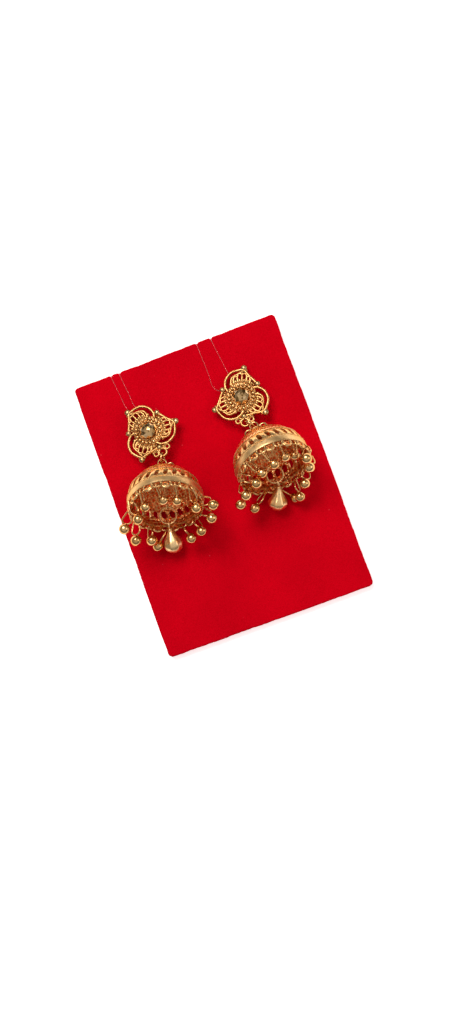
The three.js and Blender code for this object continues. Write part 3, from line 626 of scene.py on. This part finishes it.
def bell(e):
    a, e1, e2, c = bell_axes(e)
    A = axes(e1, np.cross(a, e1), a)
    d = DOME
    R = d["r"]
    z0, z1 = R * math.cos(math.radians(82)), R * math.cos(math.radians(69))
    zm = (z0 + z1) / 2
    per = 16
    cols = per * d["slots"]
    # rows from the crown down: (radius, height, kind)
    rows = [(R * math.sin(p), R * math.cos(p), "cap") for p in np.radians(np.linspace(13, 65.5, 50))]
    rows += [(R * math.sin(math.radians(67)) + .06, R * math.cos(math.radians(67)), "rim")]
    zs = np.linspace(z1 + .14, z0 - .14, 19)
    rows += [(math.sqrt(R * R - z * z), z, "slot") for z in zs]
    rows += [(9.62, z0 - .26, "rim"), (9.73, .98, "band"), (9.74, .55, "band"), (9.74, .1, "band"), (9.74, -.35, "band"), (9.73, -.78, "band"), (9.66, d["bottom"], "band")]
    th = 2 * math.pi * np.arange(cols) / cols
    V = []
    slant = math.tan(math.radians(d["slant"])) * e["mirror"]
    for r, z, kind in rows:
        zc = min(max(z, z0), z1)
        ang = th - slant * (zc - zm) / 9.5
        rr = np.full(cols, r)
        zz = np.full(cols, z)
        if kind == "cap":
            psi = math.degrees(math.acos(min(1, z / R)))
            fade = min(1, max(0, (psi - 14) / 5)) * min(1, max(0, (66 - psi) / 3))
            n = 52 if psi > 34 else 26
            ph = psi * 0.5236 * 1.15
            h = np.maximum(np.cos(n * ang + ph), np.cos(n * ang - ph))
            k = 1 + (0.055 * fade * h - 0.03) / R
            rr, zz = rr * k, zz * k
        if kind == "slot":
            # crests of the bars between the slots stand proud
            x = ((np.arange(cols) % per) / per - 0.5) * 2
            rr = rr + 0.13 * (1 - np.minimum(1, (1 - np.abs(x)) / .55) ** 2) * math.sin(math.pi * min(1, max(0, (z - z0 + .1) / (z1 - z0 + .2))))
        V.append(np.stack([rr * np.cos(ang), rr * np.sin(ang), zz], 1))
    V = np.array(V)
    f, mt = [], []
    for j in range(len(rows) - 1):
        zmid = (rows[j][1] + rows[j + 1][1]) / 2
        inslot = rows[j][2] == "slot" and rows[j + 1][2] == "slot"
        for i in range(cols):
            # slots stand halfway between the bars, at (i + 0.5) pitches
            x = (((i + .5) % per) / per - .5) * 2 * math.pi * 9.5 / d["slots"]
            if inslot and (abs(x) / (d["width"] / 2)) ** 2.6 + (abs(zmid - zm) / 1.03) ** 2.6 < 1:
                continue
            k = (i + 1) % cols
            f.append((j * cols + i, j * cols + k, (j + 1) * cols + k, (j + 1) * cols + i))
            mt.append(1 if rows[j][2] == "band" else 0)
    V = V.reshape(-1, 3)
    world = V @ A.T + c
    me = bpy.data.meshes.new("shell")
    me.from_pydata((world * MM).tolist(), [], f)
    me.polygons.foreach_set("material_index", mt)
    fix_normals(me)
    ob = bpy.data.objects.new(f"bell_shell_{e['side']}", me)
    bpy.context.scene.collection.objects.link(ob)
    for m in (GOLD_SHELL, GOLD_SATIN, GOLD_WORK, GOLD_INNER_PAINTED_SHADE_AND_RED, GOLD_INNER_PAINTED_SHADE_AND_RED):
        me.materials.append(m)
    # outward normals, then thickness inwards
    p = me.polygons[len(me.polygons) // 2]
    if p.normal.dot(Vector((np.array(p.center) / MM - c).tolist())) < 0:
        me.flip_normals()
    mod = ob.modifiers.new("wall", "SOLIDIFY")
    mod.thickness = d["wall"] * MM
    mod.offset = -1
    mod.use_even_offset = False
    # the inner faces take the inside gold, with its painted shade and painted red reflection
    mod.material_offset = 3
    with bpy.context.temp_override(object=ob, active_object=ob, selected_objects=[ob]):
        bpy.ops.object.modifier_apply(modifier=mod.name)
    ob.data.polygons.foreach_set("use_smooth", [True] * len(ob.data.polygons))

    b = Build()
    up = vec(0, 0, 1)
    I = np.eye(3)
    # beaded wires at the top and bottom of the band and above the slots
    b.ring(9.70, .17, I, vec(0, 0, 1.08), 660, 6, grains=132, depth=.5)
    b.ring(9.70, .16, I, vec(0, 0, -.92), 660, 6, grains=132, depth=.35)
    rc = R * math.sin(math.radians(67))
    b.ring(rc + .05, .17, I, vec(0, 0, R * math.cos(math.radians(67))), 600, 6, grains=120, depth=.4)
    b.ring(R * math.sin(math.radians(20)), .2, I, vec(0, 0, R * math.cos(math.radians(20)) + .02), 150, 7, grains=30, depth=.45)

    def staple(deg, width, drop, corner, wire, RR=None, top=None):
        q = math.radians(deg)
        RR = RR or d["R"]
        out, al = vec(math.cos(q), math.sin(q), 0), vec(-math.sin(q), math.cos(q), 0)
        top = d["bottom"] + .35 if top is None else top
        h, low = width / 2, d["bottom"] - drop
        k = corner * h

        def at(s, z):
            return out * math.sqrt(RR * RR - s * s) + al * s + up * z
        pts = [at(-h, top), at(-h, (top + low) / 2), at(-h, low + k * .8), at(-h + k * .3, low + k * .25), at(-h + k, low), at(0, low), at(h - k, low), at(h - k * .3, low + k * .25), at(h, low + k * .8), at(h, (top + low) / 2), at(h, top)]
        b.sweep(curve(pts, 26), wire, 8)

    def leaf(deg, width, drop):
        """A thin cupped petal with a rounded end and a small pierced eye."""
        q = math.radians(deg)
        out, al = vec(math.cos(q), math.sin(q), 0), vec(-math.sin(q), math.cos(q), 0)
        h = width / 2
        nr, ns = 14, 32
        v, f = [], []
        for lay in (0, 1):
            for i in range(nr + 1):
                k = .30 + .70 * i / nr
                for j in range(ns):
                    x = 2 * math.pi * j / ns
                    cs, sn = math.cos(x), math.sin(x)
                    sx = math.copysign(abs(cs) ** .8, cs) * h * k
                    sz = math.copysign(abs(sn) ** .8, sn) * (drop + .3) / 2 * k
                    if sn < 0:
                        sx *= 1 - .18 * abs(sn)
                    z = d["bottom"] + .15 - (drop + .3) / 2 + sz
                    cup = .20 * (1 - k * k)
                    v.append(out * (math.sqrt(9.42**2 - sx * sx) + cup - .16 * lay) + al * sx + up * z)
        m = (nr + 1) * ns
        for i in range(nr):
            for j in range(ns):
                j2 = (j + 1) % ns
                f.append((i * ns + j, i * ns + j2, (i + 1) * ns + j2, (i + 1) * ns + j))
                f.append((m + i * ns + j, m + (i + 1) * ns + j, m + (i + 1) * ns + j2, m + i * ns + j2))
        for j in range(ns):
            j2 = (j + 1) % ns
            f.append((j, m + j, m + j2, j2))
            f.append((nr * ns + j, nr * ns + j2, m + nr * ns + j2, m + nr * ns + j))
        # the petal takes the inside gold, with its painted shade and painted red reflection
        b.add(v, f, mat=3)
    for i in range(d["petals"]):
        deg = -(e["phase"] + 360 * i / d["petals"])
        staple(deg, d["eyeW"], d["eyeDrop"] + d["bottom"], .42, .215)
        mid = deg + 180 / d["petals"]
        staple(mid, d["petalW"], d["petalDrop"], .9, .29)
        leaf(mid, d["petalW"] - .2, d["petalDrop"] - .1)
        for q in (deg + 90 / d["petals"], deg - 90 / d["petals"]):
            k = math.radians(q)
            b.ball(vec(9.5 * math.cos(k), 9.5 * math.sin(k), -1.12), .28, None, 10, 7)
        k = math.radians(mid)
        b.ball(vec(9.45 * math.cos(k), 9.45 * math.sin(k), -2.62), (.3, .3, .27), None, 10, 7)
    t = TOP
    neck = [(0, R - .5), (2.5, R - .5), (2.75, R - .38), (2.62, R - .12), (2.25, R + .12), (2.0, R + .5), (1.72, t["sideDist"] - .8), (1.5, t["sideDist"] - .4), (1.46, t["sideDist"] - .05),
            (1.25, t["sideDist"] + .3), (.8, t["sideDist"] + .42), (.45, t["dist"] - t["r"] + .05), (0, t["dist"] - t["r"] + .1)]
    b.lathe(neck, 48, (I, np.zeros(3)))
    b.ring(1.9, .2, I, vec(0, 0, R + .62), 120, 7, grains=20, depth=.45)

    def upright(Rr, w, x, z, pitch=0.0):
        p = math.radians(90 + pitch)
        N = axes(vec(1, 0, 0), vec(0, math.cos(p), math.sin(p)), vec(0, -math.sin(p), math.cos(p)))
        b.ring(Rr, w, N, vec(x, 0, z), 40, 10)
    upright(t["r"], t["wire"], 0, t["dist"], e["pitch"])
    for s in (-1, 1):
        upright(t["sideR"], .25, s * t["sideX"], t["sideDist"])
        b.ball(vec(s * 1.35, 0, t["sideDist"] + .62), (.34, .34, .34), None, 10, 7)
    h = HOOK
    ri = R - .65
    b.sweep(curve([(-h["half"], 0, ri + .2), (-h["half"], 0, ri - .9), (-h["half"] * .7, 0, h["bar"] + .3), (0, 0, h["bar"]), (h["half"] * .7, 0, h["bar"] + .3), (h["half"], 0, ri - .9), (h["half"], 0, ri + .2)], 34), h["wire"] - .02, 9)
    b.v = [v @ A.T + c for v in b.v]
    b.mat = [x or 2 for x in b.mat]
    w = b.make("bell_work", [GOLD_SHELL, GOLD_SATIN, GOLD_WORK, GOLD_INNER_PAINTED_SHADE_AND_RED])
    with bpy.context.temp_override(object=ob, active_object=ob, selected_objects=[ob, w], selected_editable_objects=[ob, w]):
        bpy.ops.object.join()
    ob.data.set_sharp_from_angle(angle=math.radians(55))
    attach(ob, "root")
    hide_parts(f"bell_dome_{e['side']}")
    return a, e1, e2, c


# ------------------------------------------------------------------ bead drops
def pear():
    k = DANGLE
    th = math.acos(-(k["bellyR"] - k["tipR"]) / k["belly"])
    pts = [(-k["tipR"] * math.cos((math.pi - th) * x), k["tipR"] * math.sin((math.pi - th) * x)) for x in (-.75, -.35, 0, .35, .75)]
    pts[2] = (-k["tipR"], 0.0)
    for i in range(9):
        x = th * (1 - i / 4)
        pts.append((k["belly"] + k["bellyR"] * math.cos(x), k["bellyR"] * math.sin(x)))
    return pts


def dangle(e, i, ax):
    a, e1, e2, c = ax
    t = math.radians(e["phase"] + 360 * i / 13)
    u = e1 * math.cos(t) + e2 * math.sin(t)
    tau = -e1 * math.sin(t) + e2 * math.cos(t)
    al, be = math.radians(HANG[e["side"]]["lean"][i]), math.radians(HANG[e["side"]]["swing"][i])
    bar = c + u * DOME["R"] - a * DOME["eyeDrop"]
    d = -a * math.cos(al) * math.cos(be) - u * math.cos(al) * math.sin(be) + tau * math.sin(al)
    m = unit(tau - d * np.dot(tau, d))
    w = np.cross(m, d)
    k = DANGLE
    b = Build()
    pts = curve([bar + d * p[0] + w * p[1] for p in pear()], 52, closed=True)
    b.sweep(pts, k["wire"] - .01, 9, closed=True)
    o = bar + d * k["beadAt"]
    r = k["beadR"]
    prof = []
    for x in np.radians(np.linspace(-90, 90, 27)):
        prof.append((max(0.0, r * math.cos(x)), r * math.sin(x)))
    prof[0] = (0.0, -r - .02)
    prof[-1] = (0.0, r + .02)
    # a drawn-up neck under the loop and a small nib at the foot
    prof[1] = (.22, -r + .0)
    prof[-2] = (.12, r - .01)
    b.lathe(prof, 36, (axes(m, w, d), o))
    b.ring(.36, .15, axes(m, w, d), o - d * (r - .02), 24, 7)
    b.make(f"bead_drop_work_{e['side']}_{i + 1:02d}", [GOLD_BEAD], [f"bead_drop_{e['side']}_{i + 1:02d}"], "gold_bead")


# ------------------------------------------------------------------ link ring and middle pendant
def links(e, ax, rf):
    a, e1, e2, c = ax
    A, o = rf
    side = e["side"]
    eyeA = A @ vec(0, -7.0, 0) + o
    eyeB = c + a * TOP["dist"]
    along = unit(eyeB - eyeA)
    n = A[:, 2] + e2
    n = unit(n - along * np.dot(n, along))
    b = Build()
    b.ring(LINK["r"], LINK["wire"], axes(along, n, np.cross(along, n)), (eyeA + eyeB) / 2, 48, 10)
    b.make(f"jump_ring_{side}", [GOLD_WORK], [f"link_ring_{side}"], "gold_filigree")

    k = CHAIN
    hook = c + a * HOOK["bar"]
    top, end = np.array(e["top"], float), np.array(e["end"], float)
    run = top - hook
    length = np.linalg.norm(run)
    run = run / length
    need = -k["hook"] + 2 * k["half"] - k["hook"] + 2 * k["ringR"] - k["hook"] + 2 * k["eyeR"]
    g = k["hook"] - (length - need) / 3
    sd = unit(e1 - run * np.dot(e1, run))
    up = unit(np.cross(run, sd))
    mid = hook + run * (-g + k["half"])
    ringMid = hook + run * (-g + 2 * k["half"] - g + k["ringR"])
    eyeMid = hook + run * (-g + 2 * k["half"] - g + 2 * k["ringR"] - g + k["eyeR"])
    st = k["half"] - k["linkR"]
    oval = []
    for i in range(28):
        t = 2 * math.pi * (i + .5) / 28
        oval.append(mid + run * (k["linkR"] * math.cos(t) + math.copysign(st, math.cos(t))) + up * k["linkR"] * math.sin(t))
    b = Build()
    b.sweep(curve(oval, 72, closed=True), k["wire"] - .01, 9, closed=True)
    b.make(f"pendant_link_{side}", [GOLD_WORK], [f"centre_link_{side}"], "gold_filigree")
    b = Build()
    b.ring(k["ringR"], k["wire"], axes(run, sd, np.cross(run, sd)), ringMid, 64, 10)
    b.make(f"pendant_ring_{side}", [GOLD_WORK], [f"centre_ring_{side}"], "gold_filigree")

    v = end - top
    total = np.linalg.norm(v)
    v = v / total
    body = [(.60, .85), (.95, 1.35), (1.36, 1.95), (1.80, 2.6), (2.18, 3.2), (2.46, 3.85), (2.60, 4.5), (2.52, 5.2), (2.22, 5.85), (1.70, 6.4), (1.05, 6.8), (.45, 7.02)]
    if side == "right":
        body = [(.60, .85), (.85, 1.35), (1.15, 1.95), (1.50, 2.6), (1.86, 3.2), (2.26, 3.85), (2.54, 4.4), (2.60, 4.75), (2.48, 5.3), (2.14, 5.9), (1.62, 6.4), (1.0, 6.74), (.4, 6.93)]
    prof = [(0, .1), (.45, .1), (.58, .3), (.54, .5)] + body + [(0, total)]
    P = curve(prof, 60)
    P[0, 0] = P[-1, 0] = 0
    P[:, 0] = np.clip(P[:, 0], 0, None)
    P[:, 1] = np.clip(P[:, 1], 0, total)
    ac = unit(up - v * np.dot(up, v))
    b = Build()
    b.lathe([tuple(x) for x in P], 72, (axes(np.cross(v, ac), ac, v), top), wave=lambda q, j: 0.022 * math.cos(9 * q) * math.sin(math.pi * j / 59) ** 2 - 0.022)
    b.ring(.6, .15, axes(np.cross(v, ac), ac, v), top + v * .42, 40, 7, grains=12, depth=.4)
    b.ring(k["eyeR"], k["wire"] - .01, axes(run, up, np.cross(run, up)), eyeMid, 36, 9)
    b.make(f"tear_drop_{side}", [GOLD_DROP], [f"centre_drop_{side}"], "gold_drop")


card()
for e in EARRINGS:
    thread(e)
    rf = rosette(e)
    post(e)
    ax = bell(e)
    for i in range(13):
        dangle(e, i, ax)
    links(e, ax, rf)

# ------------------------------------------------------------------ floor, light and camera
bpy.ops.mesh.primitive_plane_add(size=3.0, location=(0, 0, -0.0001))
floor = bpy.context.object
floor.name = "floor"
m, t, b, co = tree("pale_floor")
t.links.new(ramp(t, noise(t, co, 8.0), [(0.3, (0.94, 0.94, 0.94)), (0.7, (0.97, 0.97, 0.97))]), b.inputs["Base Color"])
b.inputs["Roughness"].default_value = 0.9
b.inputs["Specular IOR Level"].default_value = 0.1
b.inputs["Emission Color"].default_value = (1, 1, 1, 1)
b.inputs["Emission Strength"].default_value = 0.52
floor.data.materials.append(m)

cam_x, cam_y, cam_z = Vector((0.93582, -0.34078, -0.09005)), Vector((0.34499, 0.93793, 0.03577)), Vector((0.07227, -0.06454, 0.99529))


def light(name, right, up, back, size, power, colour):
    d = (cam_x * right + cam_y * up + cam_z * back)
    at = d + Vector((0, 0, 0.005))
    data = bpy.data.lights.new(name, "AREA")
    data.shape = "DISK"
    data.size = size
    data.energy = power
    data.color = colour
    ob = bpy.data.objects.new(name, data)
    ob.location = at
    ob.rotation_euler = d.to_track_quat("Z", "Y").to_euler()
    bpy.context.scene.collection.objects.link(ob)


light("key", -0.20, 0.30, 0.50, 0.32, 2.65, (1.0, 0.98, 0.95))
light("fill", 0.55, 0.10, 0.45, 0.40, 0.7, (1.0, 0.97, 0.94))

world = bpy.data.worlds.new("studio")
bpy.context.scene.world = world
world.use_nodes = True
wt = world.node_tree
bg = wt.nodes["Background"]
wc = wt.nodes.new("ShaderNodeTexCoord")
sp = wt.nodes.new("ShaderNodeSeparateXYZ")
wt.links.new(wc.outputs["Generated"], sp.inputs[0])
wt.links.new(ramp(wt, sp.outputs["Z"], [(0.0, (0.12, 0.115, 0.11)), (0.45, (0.25, 0.24, 0.225)), (0.85, (0.66, 0.65, 0.64))]), bg.inputs["Color"])
bg.inputs["Strength"].default_value = 0.9

cam = bpy.data.cameras.new("camera")
cam.sensor_fit = "VERTICAL"
cam.sensor_width = cam.sensor_height = 36.0
cam.lens = 39.73
cam.clip_start = 0.005
cam_ob = bpy.data.objects.new("camera", cam)
M = Matrix.Identity(4)
for i in range(3):
    M[i][0], M[i][1], M[i][2] = cam_x[i], cam_y[i], cam_z[i]
M[0][3], M[1][3], M[2][3] = 0.02067, -0.02628, 0.29838
cam_ob.matrix_world = M
bpy.context.scene.collection.objects.link(cam_ob)
bpy.context.scene.camera = cam_ob
bpy.context.scene.view_settings.view_transform = "Standard"
